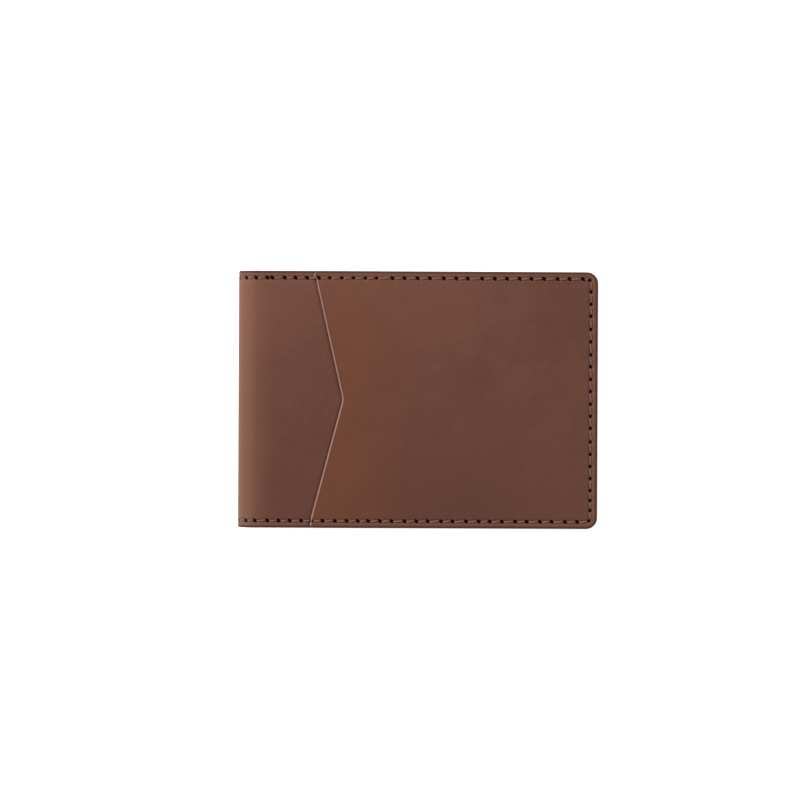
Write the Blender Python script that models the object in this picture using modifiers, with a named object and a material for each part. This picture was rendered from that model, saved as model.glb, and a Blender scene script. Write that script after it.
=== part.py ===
"""Slim bifold wallet with a spring-steel money clip, lying closed on its back cover.

Frame: +X runs from the fold to the free edge, +Y to the top edge, +Z up through the closed wallet.
The origin is at the bottom centre of the closed wallet. Lengths are in millimetres here, and the
helpers turn them into metres. The back half is modelled from the table up. The front half is its
mirror about the middle of the shell, sloping down to the free edge, with the notched quick pocket
sewn on its outside.
"""

import math

import bmesh
import bpy
from mathutils import Vector

MM = 0.001

# Overall size of the closed wallet
WIDTH = 110.0
HEIGHT = 78.6
CORNER_R = 3.4

# Leather thicknesses, and the gap kept between layers that lie on each other
SHELL_T = 1.1
POCKET_T = 1.1
LINING_T = 0.5
SLOT_T = 0.45
GAP = 0.25

# Card slots: three stepped panels a side, from the lining outwards. Mouths face +Y.
SLOT_NAMES = ("upper", "middle", "lower")
SLOT_MOUTHS_Y = (26.0, 15.0, 4.0)
TONGUE_BOTTOMS_Y = (-15.0, -26.0)
SLOT_HEAD_H = 14.0
SLOT_FOLD_X = -42.0
TONGUE_INSET = 4.0

# Space left at the fold between the two halves for the clip and folded notes. The front half slopes
# down from there, until the seams inside the two halves nearly meet at the free edge.
CLIP_ROOM = 3.4
TAPER_DEG = 1.1

# Seams. A thread lies in a groove in the outer leather, just under its surface.
SEAM_INSET = 2.0
THREAD_R = 0.2
THREAD_DEPTH = 0.24
GROOVE_W = 0.9
GROOVE_DEPTH = 0.6
SLOT_SEAM_INSET = 2.0
SLOT_SEAM_END = 1.2

# Where a thread climbs a step, it rises between these two distances in front of the edge
STEP_START = 1.5
STEP_END = 0.5

# Quick pocket: its mouth is a shallow notch pointing to the free edge
NOTCH_TOP_X = -31.9
NOTCH_POINT_X = -23.0
NOTCH_BOTTOM_X = -33.3
NOTCH_ROUND = 1.5

# Money clip, one strip of spring steel bent back over itself
CLIP_T = 0.45
CLIP_BEND_X = -49.0
CLIP_BEND_H = 3.6
CLIP_BASE_RIGHT_X = -43.4
CLIP_BASE_HALF_L = 34.0
CLIP_LEAF_HALF_L = 27.0
CLIP_LEAF_CORNER_R = 3.0
CLIP_CONTACT_X = -28.0
CLIP_LIP_X = -24.5
CLIP_LIP_RISE = 0.5
CLIP_SPLIT_DEG = 6.0
CLIP_EAR_X = CLIP_BEND_X + 0.3

# Rivets that hold the clip's base to the back lining
RIVET_X = -46.2
RIVET_Y = 30.5
RIVET_POST_R = 0.9
RIVET_HOLE_R = 1.15
RIVET_HEAD_R = 2.2
RIVET_HEAD_H = 0.7
RIVET_FLANGE_R = 1.7
RIVET_FLANGE_T = 0.2
RIVET_SEAT_R = 1.95
RIVET_SEAT_DEPTH = 0.35
RIVET_SIDES = 20

# Levels and radii worked out from the sizes above
LINING_Z = SHELL_T + GAP
LINING_TOP = LINING_Z + LINING_T
SLOT_PITCH = GAP + SLOT_T
HALF_STACK = LINING_TOP + len(SLOT_NAMES) * SLOT_PITCH
SHELL_H = 2 * HALF_STACK + CLIP_ROOM
POCKET_RISE = GAP + POCKET_T
POCKET_Z = SHELL_H + GAP
TOTAL_H = SHELL_H + POCKET_RISE
HALF_H = HEIGHT / 2
FREE_X = WIDTH / 2
SEAM_Y = HALF_H - SEAM_INSET
SEAM_X = FREE_X - SEAM_INSET
BEND_R = SHELL_H / 2
BEND_X = -WIDTH / 2 + BEND_R
LINING_OUT_R = BEND_R - LINING_Z
LINING_IN_R = BEND_R - LINING_TOP
OUTER_THREAD_R = BEND_R - THREAD_DEPTH
INNER_THREAD_R = LINING_IN_R - GAP - THREAD_R

# The fold is two hinge lines on the shell's outer face, 45 degrees round the bend from each cover.
# The leather stops short of each line, and the thread a little shorter.
HINGE_DEG = 45.0
LEATHER_STOP_DEG = 2.0
THREAD_STOP_DEG = 3.0
HINGE_OFFSET = BEND_R * math.sin(math.radians(HINGE_DEG))
SPINE_HINGE = (BEND_X - HINGE_OFFSET, 0.0, BEND_R - HINGE_OFFSET)
FRONT_HINGE = (BEND_X - HINGE_OFFSET, 0.0, BEND_R + HINGE_OFFSET)

# The clip bends about the far side of its own bend
CLIP_BEND_R = CLIP_BEND_H / 2
CLIP_BEND_Z = LINING_TOP + GAP + CLIP_BEND_R
CLIP_HINGE = (CLIP_BEND_X - CLIP_BEND_R + CLIP_T / 2, 0.0, CLIP_BEND_Z)

# Fineness of round shapes, and how far cutters reach past what they cut
BEND_STEP_DEG = 7.5
CORNER_STEP_DEG = 15.0
HOLE_STEP_DEG = 18.0
SHARP_DEG = 30.0
WELD_M = 1e-7
MARGIN = 2.0
OVERCUT = 0.2
REACH_Y = HALF_H + MARGIN

COLOURS = {
    "shell_leather": ((0.145, 0.062, 0.041), 0.55, 0.0),
    "pocket_leather": ((0.160, 0.064, 0.037), 0.55, 0.0),
    "interior_leather": ((0.130, 0.058, 0.038), 0.60, 0.0),
    "lining_leather": ((0.115, 0.052, 0.036), 0.65, 0.0),
    "thread": ((0.085, 0.038, 0.034), 0.75, 0.0),
    "clip_steel": ((0.60, 0.60, 0.61), 0.28, 1.0),
    "rivet_nickel": ((0.66, 0.64, 0.60), 0.22, 1.0),
}


def clear_scene():
    for obj in list(bpy.data.objects):
        bpy.data.objects.remove(obj)


def new_collection(name):
    collection = bpy.data.collections.new(name)
    bpy.context.scene.collection.children.link(collection)
    return collection


def new_material(name, kind):
    colour, roughness, metallic = COLOURS[kind]
    material = bpy.data.materials.new(name)
    material.use_nodes = True
    shader = material.node_tree.nodes["Principled BSDF"]
    shader.inputs["Base Color"].default_value = (*colour, 1.0)
    shader.inputs["Roughness"].default_value = roughness
    shader.inputs["Metallic"].default_value = metallic
    return material


def paint(obj, kind):
    """Gives an object its own material."""
    obj.data.materials.clear()
    obj.data.materials.append(new_material(f"{obj.name}_{kind}", kind))


# Outlines and routes, in millimetres


def at(x, y, z):
    """A point given in millimetres, in metres."""
    return Vector((x, y, z)) * MM


def arc(centre, radius, start_deg, end_deg, step_deg):
    """Points on an arc, counter-clockwise when end_deg is above start_deg."""
    count = max(2, math.ceil(abs(end_deg - start_deg) / step_deg))
    angles = [math.radians(start_deg + (end_deg - start_deg) * i / count) for i in range(count + 1)]
    return [(centre[0] + radius * math.cos(a), centre[1] + radius * math.sin(a)) for a in angles]


def circle(centre, radius):
    return arc(centre, radius, 0, 360 - HOLE_STEP_DEG, HOLE_STEP_DEG)


def bend_arc(radius, start_deg, end_deg):
    """Points (x, z) round the fold, from 0 degrees at the back cover to 180 at the front cover."""
    return arc((BEND_X, BEND_R), radius, 270 - start_deg, 270 - end_deg, BEND_STEP_DEG)


def bend_band(out_r, in_r, start_deg, end_deg):
    """A band (x, z) round the fold."""
    return bend_arc(out_r, start_deg, end_deg) + bend_arc(in_r, end_deg, start_deg)


def cover_band(out_r, in_r):
    """The back half's section (x, z): flat from past the free edge, then round the bend to the hinge."""
    stop = HINGE_DEG - LEATHER_STOP_DEG
    past_edge = FREE_X + MARGIN
    flat_out = [(past_edge, BEND_R - out_r)]
    flat_in = [(past_edge, BEND_R - in_r)]
    return flat_out + bend_arc(out_r, 0, stop) + bend_arc(in_r, stop, 0) + flat_in


def taper(x):
    """How far the front half has sloped down at x."""
    return max(0.0, x - BEND_X) * math.tan(math.radians(TAPER_DEG))


def front_section(points):
    """(x, z) points of the back half, moved to the front half."""
    return [(x, SHELL_H - z - taper(x)) for x, z in points]


def front_route(points):
    """(x, y, z) points of the back half, moved to the front half."""
    return [(x, y, SHELL_H - z - taper(x)) for x, y, z in points]


def cover_outline(left_x, inset=0.0):
    """The wallet's outline (x, y) right of left_x, with round corners at the free edge."""
    radius = CORNER_R - inset
    corner_x = FREE_X - CORNER_R
    corner_y = HALF_H - CORNER_R
    top_corner = arc((corner_x, corner_y), radius, 90, 0, CORNER_STEP_DEG)
    bottom_corner = arc((corner_x, -corner_y), radius, 0, -90, CORNER_STEP_DEG)
    return [(left_x, HALF_H - inset)] + top_corner + bottom_corner + [(left_x, -HALF_H + inset)]


def groove_outline(left_x):
    """The groove of the edge seam: along the top edge, the free edge and the bottom edge."""
    outer = cover_outline(left_x, SEAM_INSET - GROOVE_W / 2)
    inner = cover_outline(left_x, SEAM_INSET + GROOVE_W / 2)
    return outer + inner[::-1]


def seam_edge(z):
    """The edge seam's route (x, y, z) from the top edge round the free edge to the bottom edge."""
    return [(x, y, z) for x, y in cover_outline(SEAM_X - CORNER_R, SEAM_INSET)[1:-1]]


def bend_route(radius, y, start_deg, end_deg):
    return [(x, y, z) for x, z in bend_arc(radius, start_deg, end_deg)]


def mouth_x(y):
    """Where the quick pocket's mouth is, at height y."""
    end_x = NOTCH_TOP_X if y > 0 else NOTCH_BOTTOM_X
    return NOTCH_POINT_X + (end_x - NOTCH_POINT_X) * abs(y) / HALF_H


def notch_point():
    """The rounded point of the notch, from its lower arm to its upper arm."""
    below = (mouth_x(-NOTCH_ROUND), -NOTCH_ROUND)
    above = (mouth_x(NOTCH_ROUND), NOTCH_ROUND)
    sharp = (NOTCH_POINT_X, 0.0)
    steps = 5
    points = []
    for i in range(steps + 1):
        t = i / steps
        weights = ((1 - t) ** 2, 2 * t * (1 - t), t**2)
        points.append(tuple(sum(w * p[k] for w, p in zip(weights, (below, sharp, above))) for k in (0, 1)))
    return points


# Mesh helpers


def mesh_of_curve(curve, name):
    """A curve's mesh with its caps welded, smooth on its round faces. The curve's object is removed."""
    guide = bpy.data.objects.new(name + "_guide", curve)
    bpy.context.scene.collection.objects.link(guide)
    mesh = bpy.data.meshes.new_from_object(guide.evaluated_get(bpy.context.evaluated_depsgraph_get()))
    bpy.data.objects.remove(guide)
    shape = bmesh.new()
    shape.from_mesh(mesh)
    bmesh.ops.remove_doubles(shape, verts=shape.verts, dist=WELD_M)
    bmesh.ops.recalc_face_normals(shape, faces=shape.faces)
    shape.to_mesh(mesh)
    shape.free()
    mesh.name = name
    mesh.shade_smooth()
    mesh.set_sharp_from_angle(angle=math.radians(SHARP_DEG))
    return mesh


def prism(name, outline, depth, collection):
    """A flat outline in the local XY plane, with half its depth on each side of it."""
    curve = bpy.data.curves.new(name, "CURVE")
    curve.dimensions = "2D"
    curve.fill_mode = "BOTH"
    curve.extrude = depth * MM / 2
    spline = curve.splines.new("POLY")
    spline.points.add(len(outline) - 1)
    for point, (x, y) in zip(spline.points, outline):
        point.co = (x * MM, y * MM, 0.0, 1.0)
    spline.use_cyclic_u = True
    obj = bpy.data.objects.new(name, mesh_of_curve(curve, name))
    collection.objects.link(obj)
    return obj


def plate(name, outline, z_low, z_high, collection):
    """A sheet lying flat, with this outline (x, y)."""
    obj = prism(name, outline, z_high - z_low, collection)
    obj.location = at(0, 0, (z_low + z_high) / 2)
    return obj


def front_plate(name, outline, z_low, z_high, collection):
    """A sheet of the front half, with z_low and z_high as they are at the fold."""
    obj = plate(name, outline, z_low, z_high, collection)
    for vertex in obj.data.vertices:
        vertex.co.z -= taper(vertex.co.x / MM) * MM
    return obj


def extrusion(name, section, y_low, y_high, collection):
    """A section (x, z) drawn out along Y."""
    obj = prism(name, section, y_high - y_low, collection)
    obj.rotation_euler = (math.pi / 2, 0, 0)
    obj.location = at(0, (y_low + y_high) / 2, 0)
    return obj


def thread(name, route, collection):
    """A round thread along a route (x, y, z)."""
    curve = bpy.data.curves.new(name, "CURVE")
    curve.dimensions = "3D"
    curve.bevel_depth = THREAD_R * MM
    curve.bevel_resolution = 2
    curve.use_fill_caps = True
    spline = curve.splines.new("POLY")
    spline.points.add(len(route) - 1)
    for point, place in zip(spline.points, route):
        point.co = (*at(*place), 1.0)
    obj = bpy.data.objects.new(name, mesh_of_curve(curve, name))
    collection.objects.link(obj)
    paint(obj, "thread")


def turned(name, profile, x, y, collection):
    """A profile (radius, z), listed from its top down, turned about the vertical through x, y."""
    mesh = bpy.data.meshes.new(name)
    points = [at(radius, 0, z) for radius, z in profile]
    mesh.from_pydata(points, [(i, i + 1) for i in range(len(points) - 1)], [])
    obj = bpy.data.objects.new(name, mesh)
    obj.location = at(x, y, 0)
    screw = obj.modifiers.new("Turn", "SCREW")
    screw.axis = "Z"
    screw.steps = RIVET_SIDES
    screw.render_steps = RIVET_SIDES
    screw.use_merge_vertices = True
    screw.merge_threshold = WELD_M
    screw.use_smooth_shade = True
    collection.objects.link(obj)
    return obj


def boolean(obj, cutter, operation="DIFFERENCE"):
    modifier = obj.modifiers.new(f"{operation.title()} {cutter.name}", "BOOLEAN")
    modifier.operation = operation
    modifier.solver = "EXACT"
    modifier.object = cutter
    cutter.hide_render = True
    cutter.display_type = "WIRE"


# The wallet's pieces


def make_covers(parts, cutters):
    """The outer leather and its lining: each is a back cover, a strip over the spine and a front cover."""
    start = HINGE_DEG + LEATHER_STOP_DEG
    outline = plate("cover_trim", cover_outline(-FREE_X - MARGIN), -MARGIN, TOTAL_H + MARGIN, cutters)
    layers = (
        ("back_cover", "spine_shell", "front_cover", BEND_R, BEND_R - SHELL_T, "shell_leather"),
        ("back_lining", "spine_lining", "front_lining", LINING_OUT_R, LINING_IN_R, "lining_leather"),
    )
    for back, spine, front, out_r, in_r, kind in layers:
        sections = {
            back: cover_band(out_r, in_r),
            spine: bend_band(out_r, in_r, start, 180 - start),
            front: front_section(cover_band(out_r, in_r)),
        }
        for name, section in sections.items():
            obj = extrusion(name, section, -REACH_Y, REACH_Y, parts)
            boolean(obj, outline, "INTERSECT")
            paint(obj, kind)


def cut_seam_grooves(parts, cutters):
    """The grooves that the edge seam's outer thread lies in."""
    start_x = BEND_X - OVERCUT
    outline = groove_outline(start_x)
    boolean(parts.objects["back_cover"], plate("groove_back", outline, -OVERCUT, GROOVE_DEPTH, cutters))
    front_low = SHELL_H - GROOVE_DEPTH
    front = front_plate("groove_front", outline, front_low, SHELL_H + OVERCUT, cutters)
    boolean(parts.objects["front_cover"], front)
    ring = bend_band(BEND_R + OVERCUT, BEND_R - GROOVE_DEPTH, 0, 180)
    for side, y in (("top", SEAM_Y), ("bottom", -SEAM_Y)):
        groove = extrusion(f"groove_bend_{side}", ring, y - GROOVE_W / 2, y + GROOVE_W / 2, cutters)
        for name in ("back_cover", "spine_shell", "front_cover"):
            boolean(parts.objects[name], groove)


def make_quick_pocket(parts, cutters):
    """The panel sewn on the outside of the front cover on three sides, and open at its notched mouth."""
    outline = cover_outline(NOTCH_TOP_X)
    outline[-1] = (NOTCH_BOTTOM_X, -HALF_H)
    pocket = front_plate("front_quick_pocket", outline + notch_point(), POCKET_Z, TOTAL_H, parts)
    groove_top = TOTAL_H + OVERCUT
    start_x = NOTCH_BOTTOM_X - MARGIN
    groove_low = TOTAL_H - GROOVE_DEPTH
    groove = front_plate("groove_pocket", groove_outline(start_x), groove_low, groove_top, cutters)
    boolean(pocket, groove)
    paint(pocket, "pocket_leather")


def tee_outline(mouth_y, bottom_y):
    """A card slot with a full-width head, and a narrower tongue that hangs behind the next slot."""
    head_y = mouth_y - SLOT_HEAD_H
    left = SLOT_FOLD_X + TONGUE_INSET
    right = FREE_X - TONGUE_INSET
    head = [(SLOT_FOLD_X, head_y), (SLOT_FOLD_X, mouth_y), (FREE_X, mouth_y), (FREE_X, head_y)]
    tongue = [(right, head_y), (right, bottom_y), (left, bottom_y), (left, head_y)]
    return head + tongue


def lowest_slot_outline():
    """The last slot reaches the bottom edge, and shares the cover's round corner there."""
    mouth_y = SLOT_MOUTHS_Y[-1]
    corner_centre = (FREE_X - CORNER_R, -HALF_H + CORNER_R)
    corner = arc(corner_centre, CORNER_R, 0, -90, CORNER_STEP_DEG)
    return [(SLOT_FOLD_X, mouth_y), (FREE_X, mouth_y)] + corner + [(SLOT_FOLD_X, -HALF_H)]


def make_slots(parts):
    """Three card slots in each half, each a step further from the lining."""
    outlines = [tee_outline(mouth, bottom) for mouth, bottom in zip(SLOT_MOUTHS_Y, TONGUE_BOTTOMS_Y)]
    outlines.append(lowest_slot_outline())
    for level, (slot, outline) in enumerate(zip(SLOT_NAMES, outlines)):
        low = LINING_TOP + level * SLOT_PITCH + GAP
        high = low + SLOT_T
        back = plate(f"back_slot_{slot}", outline, low, high, parts)
        front = front_plate(f"front_slot_{slot}", outline, SHELL_H - high, SHELL_H - low, parts)
        paint(back, "interior_leather")
        paint(front, "interior_leather")


def on_level(level):
    """Height of a thread on the lining (level 0), or on the slot panel of that level."""
    return LINING_TOP + level * SLOT_PITCH + GAP + THREAD_R


def over_mouth(x, level):
    """A thread running down in Y that climbs over the mouth of the slot on this level."""
    mouth = SLOT_MOUTHS_Y[level]
    return [(x, mouth + STEP_START, on_level(level)), (x, mouth + STEP_END, on_level(level + 1))]


def onto_pocket(y):
    """A thread running to the right that climbs over the mouth of the quick pocket."""
    edge = mouth_x(y)
    return [(edge - STEP_START, y, THREAD_DEPTH), (edge - STEP_END, y, THREAD_DEPTH - POCKET_RISE)]


def inner_seam():
    """The edge seam's inside thread on the back half, over the lining and the slot panels."""
    stop = HINGE_DEG - THREAD_STOP_DEG
    top_level = len(SLOT_NAMES)
    edge = seam_edge(0)
    upper = [(x, y, on_level(0)) for x, y, z in edge if y > 0]
    lower = [(x, y, on_level(top_level)) for x, y, z in edge if y < 0]
    mouths = [point for level in range(top_level) for point in over_mouth(SEAM_X, level)]
    off_slot = [
        (SLOT_FOLD_X - STEP_END, -SEAM_Y, on_level(top_level)),
        (SLOT_FOLD_X - STEP_START, -SEAM_Y, on_level(0)),
    ]
    start = bend_route(INNER_THREAD_R, SEAM_Y, stop, 0)
    end = bend_route(INNER_THREAD_R, -SEAM_Y, 0, stop)
    return start + upper + mouths + lower + off_slot + end


def slot_seam():
    """The seam that closes the card slots on the fold side, from the first mouth to the edge seam."""
    x = SLOT_FOLD_X + SLOT_SEAM_INSET
    start = (x, SLOT_MOUTHS_Y[0] - STEP_END, on_level(1))
    end = (x, -SEAM_Y + SLOT_SEAM_END, on_level(len(SLOT_NAMES)))
    return [start] + over_mouth(x, 1) + over_mouth(x, 2) + [end]


def make_threads(parts):
    """All seams. A thread keeps to one body, so the edge seam is split at the hinge lines."""
    stop = HINGE_DEG - THREAD_STOP_DEG
    back_top = bend_route(OUTER_THREAD_R, SEAM_Y, stop, 0)
    back_bottom = bend_route(OUTER_THREAD_R, -SEAM_Y, 0, stop)
    thread("back_thread_outer", back_top + seam_edge(THREAD_DEPTH) + back_bottom, parts)
    over_pocket = onto_pocket(SEAM_Y) + seam_edge(THREAD_DEPTH - POCKET_RISE) + onto_pocket(-SEAM_Y)[::-1]
    thread("front_thread_outer", front_route(back_top + over_pocket + back_bottom), parts)
    thread("back_thread_inner", inner_seam(), parts)
    thread("front_thread_inner", front_route(inner_seam()), parts)
    thread("back_slot_thread", slot_seam(), parts)
    thread("front_slot_thread", front_route(slot_seam()), parts)
    start = HINGE_DEG + THREAD_STOP_DEG
    for side, y in (("top", SEAM_Y), ("bottom", -SEAM_Y)):
        thread(f"spine_thread_outer_{side}", bend_route(OUTER_THREAD_R, y, start, 180 - start), parts)
        thread(f"spine_thread_inner_{side}", bend_route(INNER_THREAD_R, y, start, 180 - start), parts)


def clip_arc(radius, start_deg, end_deg):
    return arc((CLIP_BEND_X, CLIP_BEND_Z), radius, start_deg, end_deg, BEND_STEP_DEG * 2)


def clip_leaf_section():
    """Half of the bend, a leaf sloping down to the card slots, and a flared lip."""
    start = 180 - CLIP_SPLIT_DEG
    contact_z = HALF_STACK + GAP
    under = [(CLIP_CONTACT_X, contact_z), (CLIP_LIP_X, contact_z + CLIP_LIP_RISE)]
    over = [(x, z + CLIP_T) for x, z in under]
    outer = clip_arc(CLIP_BEND_R, start, 90)
    inner = clip_arc(CLIP_BEND_R - CLIP_T, 90, start)
    return outer + over + under[::-1] + inner


def clip_base_section():
    """A flat strip on the lining, and the other half of the bend."""
    end = 180 + CLIP_SPLIT_DEG
    outer = [(CLIP_BASE_RIGHT_X, CLIP_BEND_Z - CLIP_BEND_R)] + clip_arc(CLIP_BEND_R, 270, end)
    inner_r = CLIP_BEND_R - CLIP_T
    return outer + clip_arc(inner_r, end, 270) + [(CLIP_BASE_RIGHT_X, CLIP_BEND_Z - inner_r)]


def leaf_outline():
    """The leaf's outline (x, y): square at the bend, round at the two corners of its lip."""
    left = CLIP_BEND_X - CLIP_BEND_R - MARGIN
    corner_x = CLIP_LIP_X - CLIP_LEAF_CORNER_R
    corner_y = CLIP_LEAF_HALF_L - CLIP_LEAF_CORNER_R
    top = arc((corner_x, corner_y), CLIP_LEAF_CORNER_R, 90, 0, CORNER_STEP_DEG)
    bottom = arc((corner_x, -corner_y), CLIP_LEAF_CORNER_R, 0, -90, CORNER_STEP_DEG)
    return [(left, CLIP_LEAF_HALF_L)] + top + bottom + [(left, -CLIP_LEAF_HALF_L)]


def make_clip(parts, cutters):
    """The money clip: its leaf, and its base with an ear for a rivet past each end of the bend."""
    reach = CLIP_LEAF_HALF_L + MARGIN
    leaf = extrusion("clip_leaf", clip_leaf_section(), -reach, reach, parts)
    boolean(leaf, plate("leaf_trim", leaf_outline(), 0, SHELL_H, cutters), "INTERSECT")
    base = extrusion("clip_base", clip_base_section(), -CLIP_BASE_HALF_L, CLIP_BASE_HALF_L, parts)
    bend_left = CLIP_BEND_X - CLIP_BEND_R - MARGIN
    end = CLIP_BASE_HALF_L + MARGIN
    for side, sign in (("top", 1), ("bottom", -1)):
        near, far = sorted((sign * CLIP_LEAF_HALF_L, sign * end))
        outline = [(bend_left, near), (CLIP_EAR_X, near), (CLIP_EAR_X, far), (bend_left, far)]
        boolean(base, plate(f"ear_cut_{side}", outline, 0, SHELL_H, cutters))
    paint(leaf, "clip_steel")
    paint(base, "clip_steel")


def make_rivets(parts, cutters):
    """A domed rivet through each ear of the clip's base, with its flange sunk in the lining's underside."""
    flange_z = LINING_Z + (RIVET_SEAT_DEPTH - RIVET_FLANGE_T) / 2
    head_z = LINING_TOP + GAP + CLIP_T + GAP
    dome = [(x, head_z + z * RIVET_HEAD_H / RIVET_HEAD_R) for x, z in arc((0, 0), RIVET_HEAD_R, 90, 0, 15)]
    dome[0] = (0.0, dome[0][1])
    shank = [(RIVET_POST_R, head_z), (RIVET_POST_R, flange_z + RIVET_FLANGE_T)]
    flange = [(RIVET_FLANGE_R, flange_z + RIVET_FLANGE_T), (RIVET_FLANGE_R, flange_z), (0.0, flange_z)]
    seat_top = LINING_Z + RIVET_SEAT_DEPTH
    lining = parts.objects["back_lining"]
    base = parts.objects["clip_base"]
    for side, y in (("top", RIVET_Y), ("bottom", -RIVET_Y)):
        hole = plate(f"rivet_hole_{side}", circle((RIVET_X, y), RIVET_HOLE_R), 0, SHELL_H / 2, cutters)
        seat_outline = circle((RIVET_X, y), RIVET_SEAT_R)
        seat = plate(f"rivet_seat_{side}", seat_outline, LINING_Z - OVERCUT, seat_top, cutters)
        boolean(lining, hole)
        boolean(lining, seat)
        boolean(base, hole)
        rivet = turned(f"clip_rivet_{side}", dome + shank + flange, RIVET_X, y, parts)
        paint(rivet, "rivet_nickel")


def hinge_empty(name, place, parts, children):
    """An empty on a joint's axis, with the joint's moving pieces parented to it where they are."""
    empty = bpy.data.objects.new(name, None)
    empty.empty_display_size = 10 * MM
    empty.location = at(*place)
    parts.objects.link(empty)
    bpy.context.view_layer.update()
    for child in children:
        child.parent = empty
        child.matrix_parent_inverse = empty.matrix_world.inverted()
    return empty


def main():
    clear_scene()
    parts = new_collection("bifold_wallet")
    cutters = new_collection("cutters")
    make_covers(parts, cutters)
    cut_seam_grooves(parts, cutters)
    make_quick_pocket(parts, cutters)
    make_slots(parts)
    make_threads(parts)
    make_clip(parts, cutters)
    make_rivets(parts, cutters)
    spine_pieces = [obj for obj in parts.objects if obj.name.startswith("spine_")]
    front_pieces = [obj for obj in parts.objects if obj.name.startswith("front_")]
    hinge_empty("clip_hinge", CLIP_HINGE, parts, [parts.objects["clip_leaf"]])
    front_hinge = hinge_empty("front_hinge", FRONT_HINGE, parts, front_pieces)
    hinge_empty("spine_hinge", SPINE_HINGE, parts, spine_pieces + [front_hinge])


main()
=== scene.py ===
"""Visual model of the slim bifold leather wallet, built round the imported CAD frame.

Lengths are in millimetres until a mesh is made. Each leather panel is drawn flat as (u, v), with z
counted inwards from the outer face of the shell, and is then laid on the back half, on the front half
or round the fold. u is X on the flat of the wallet and goes on round the bend past BEND_X.
"""

import math
import random
from dataclasses import dataclass

import bmesh
import bpy
import numpy as np
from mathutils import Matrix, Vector
from mathutils.geometry import delaunay_2d_cdt
from mathutils.kdtree import KDTree


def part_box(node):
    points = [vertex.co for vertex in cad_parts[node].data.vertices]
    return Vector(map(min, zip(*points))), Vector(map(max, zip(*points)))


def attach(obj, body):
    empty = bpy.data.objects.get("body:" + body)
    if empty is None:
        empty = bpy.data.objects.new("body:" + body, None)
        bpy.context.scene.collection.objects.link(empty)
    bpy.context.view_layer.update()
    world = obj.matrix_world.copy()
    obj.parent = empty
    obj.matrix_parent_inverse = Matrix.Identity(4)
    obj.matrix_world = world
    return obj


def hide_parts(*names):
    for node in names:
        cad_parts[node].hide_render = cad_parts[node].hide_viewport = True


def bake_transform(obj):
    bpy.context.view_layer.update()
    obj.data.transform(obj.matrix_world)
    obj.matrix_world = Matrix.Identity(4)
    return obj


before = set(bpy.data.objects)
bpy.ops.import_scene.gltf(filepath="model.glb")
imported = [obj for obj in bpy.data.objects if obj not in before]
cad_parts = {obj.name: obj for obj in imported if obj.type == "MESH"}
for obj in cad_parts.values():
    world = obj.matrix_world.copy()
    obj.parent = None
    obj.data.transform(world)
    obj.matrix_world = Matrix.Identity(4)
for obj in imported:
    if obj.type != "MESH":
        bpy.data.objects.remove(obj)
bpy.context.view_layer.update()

MM = 0.001
dice = random.Random(11)


def box_mm(node):
    """The lowest and the highest corner of a CAD node, in millimetres."""
    low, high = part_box(node)
    return low / MM, high / MM


# Sizes taken from the CAD
BACK_HIGH = box_mm("back_cover")[1]
SPINE_LOW = box_mm("spine_shell")[0]
FRONT_LOW, FRONT_HIGH = box_mm("front_cover")
LEAF_LOW, LEAF_HIGH = box_mm("clip_leaf")
BASE_LOW, BASE_HIGH = box_mm("clip_base")
FREE_X = BACK_HIGH.x
HALF_H = BACK_HIGH.y
SHELL_H = FRONT_HIGH.z
BEND_R = SHELL_H / 2
BEND_X = SPINE_LOW.x + BEND_R

# The two halves of the shell meet on the middle line of the spine
CUT_U = BEND_X - BEND_R * math.pi / 2

# Leather thicknesses, and the air between loose layers and between sewn ones
SHELL_T = 1.1
POCKET_T = 1.1
LINING_T = 0.5
SLOT_T = 0.45
GAP = 0.25
SEWN_GAP = 0.02
LINING_TOP = SHELL_T + GAP + LINING_T
TAPER = (SHELL_H - SHELL_T - FRONT_LOW.z) / (FREE_X - BEND_X)

# Card slots: a wide head and a narrower tongue, or for the lowest one a plain panel
SLOT_NAMES = ("upper", "middle", "lower")
SLOT_MOUTHS = (26.0, 15.0, 4.0)
SLOT_BOTTOMS = (-15.0, -26.0, -HALF_H)
SLOT_LEFT = box_mm("back_slot_upper")[0].x
SLOT_HEAD_H = 14.0
TONGUE_INSET = 4.0
LOWEST = 2

# The quick pocket's mouth, and where its outline leaves the cover's
NOTCH_TOP_X = -31.9
NOTCH_POINT_X = -23.0
NOTCH_BOTTOM_X = -33.3
POCKET_START_X = -30.0

# Seams: distance from the edge, stitch lengths, and how much of a stitch its ends are shaken by
SEAM_INSET = 2.15
PITCH_FOLD_SIDE = 3.45
PITCH_FREE_SIDE = 3.8
PITCH_CHANGE_X = -7.9
LONG_STITCH = 4.9
SHORT_STITCH = 2.2
LOW_CORNER_STITCH = 3.1
EDGE_SHAKE = 0.07
SLOT_SHAKE = 0.05
SLOT_SEAM_U = SLOT_LEFT + 2.0
SLOT_SEAM_TOP = SLOT_MOUTHS[0] - 0.6

# Thread and needle holes. A hole has a slant, half a length and half a width, and the ones down the free
# edge and beside the mouth on the top edge are round.
THREAD_R = 0.27
SLANTED_HOLE = (math.radians(28), 0.82, 0.52)
ROUND_HOLE = (0.0, 0.5, 0.5)
ROUND_HOLES_X = (-27.5, -12.5)

# Relief of a seam: the channel, a needle hole and the dip about it, and the swell beside the channel
CHANNEL_DEPTH = 0.13
HOLE_DEPTH = 0.55
DIP_DEPTH = 0.12
SWELL_HEIGHT = 0.07

# A cover's outline, as lengths along its seam
CORNER_R = 3.4
COVER_RUN = FREE_X - CORNER_R - CUT_U
CORNER_LENGTH = (CORNER_R - SEAM_INSET) * math.pi / 2
COVER_SIDE = 2 * (HALF_H - CORNER_R)
LOW_CORNER = COVER_RUN + CORNER_LENGTH + COVER_SIDE
COVER_LENGTH = LOW_CORNER + CORNER_LENGTH + COVER_RUN


# Small sums on arrays


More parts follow.
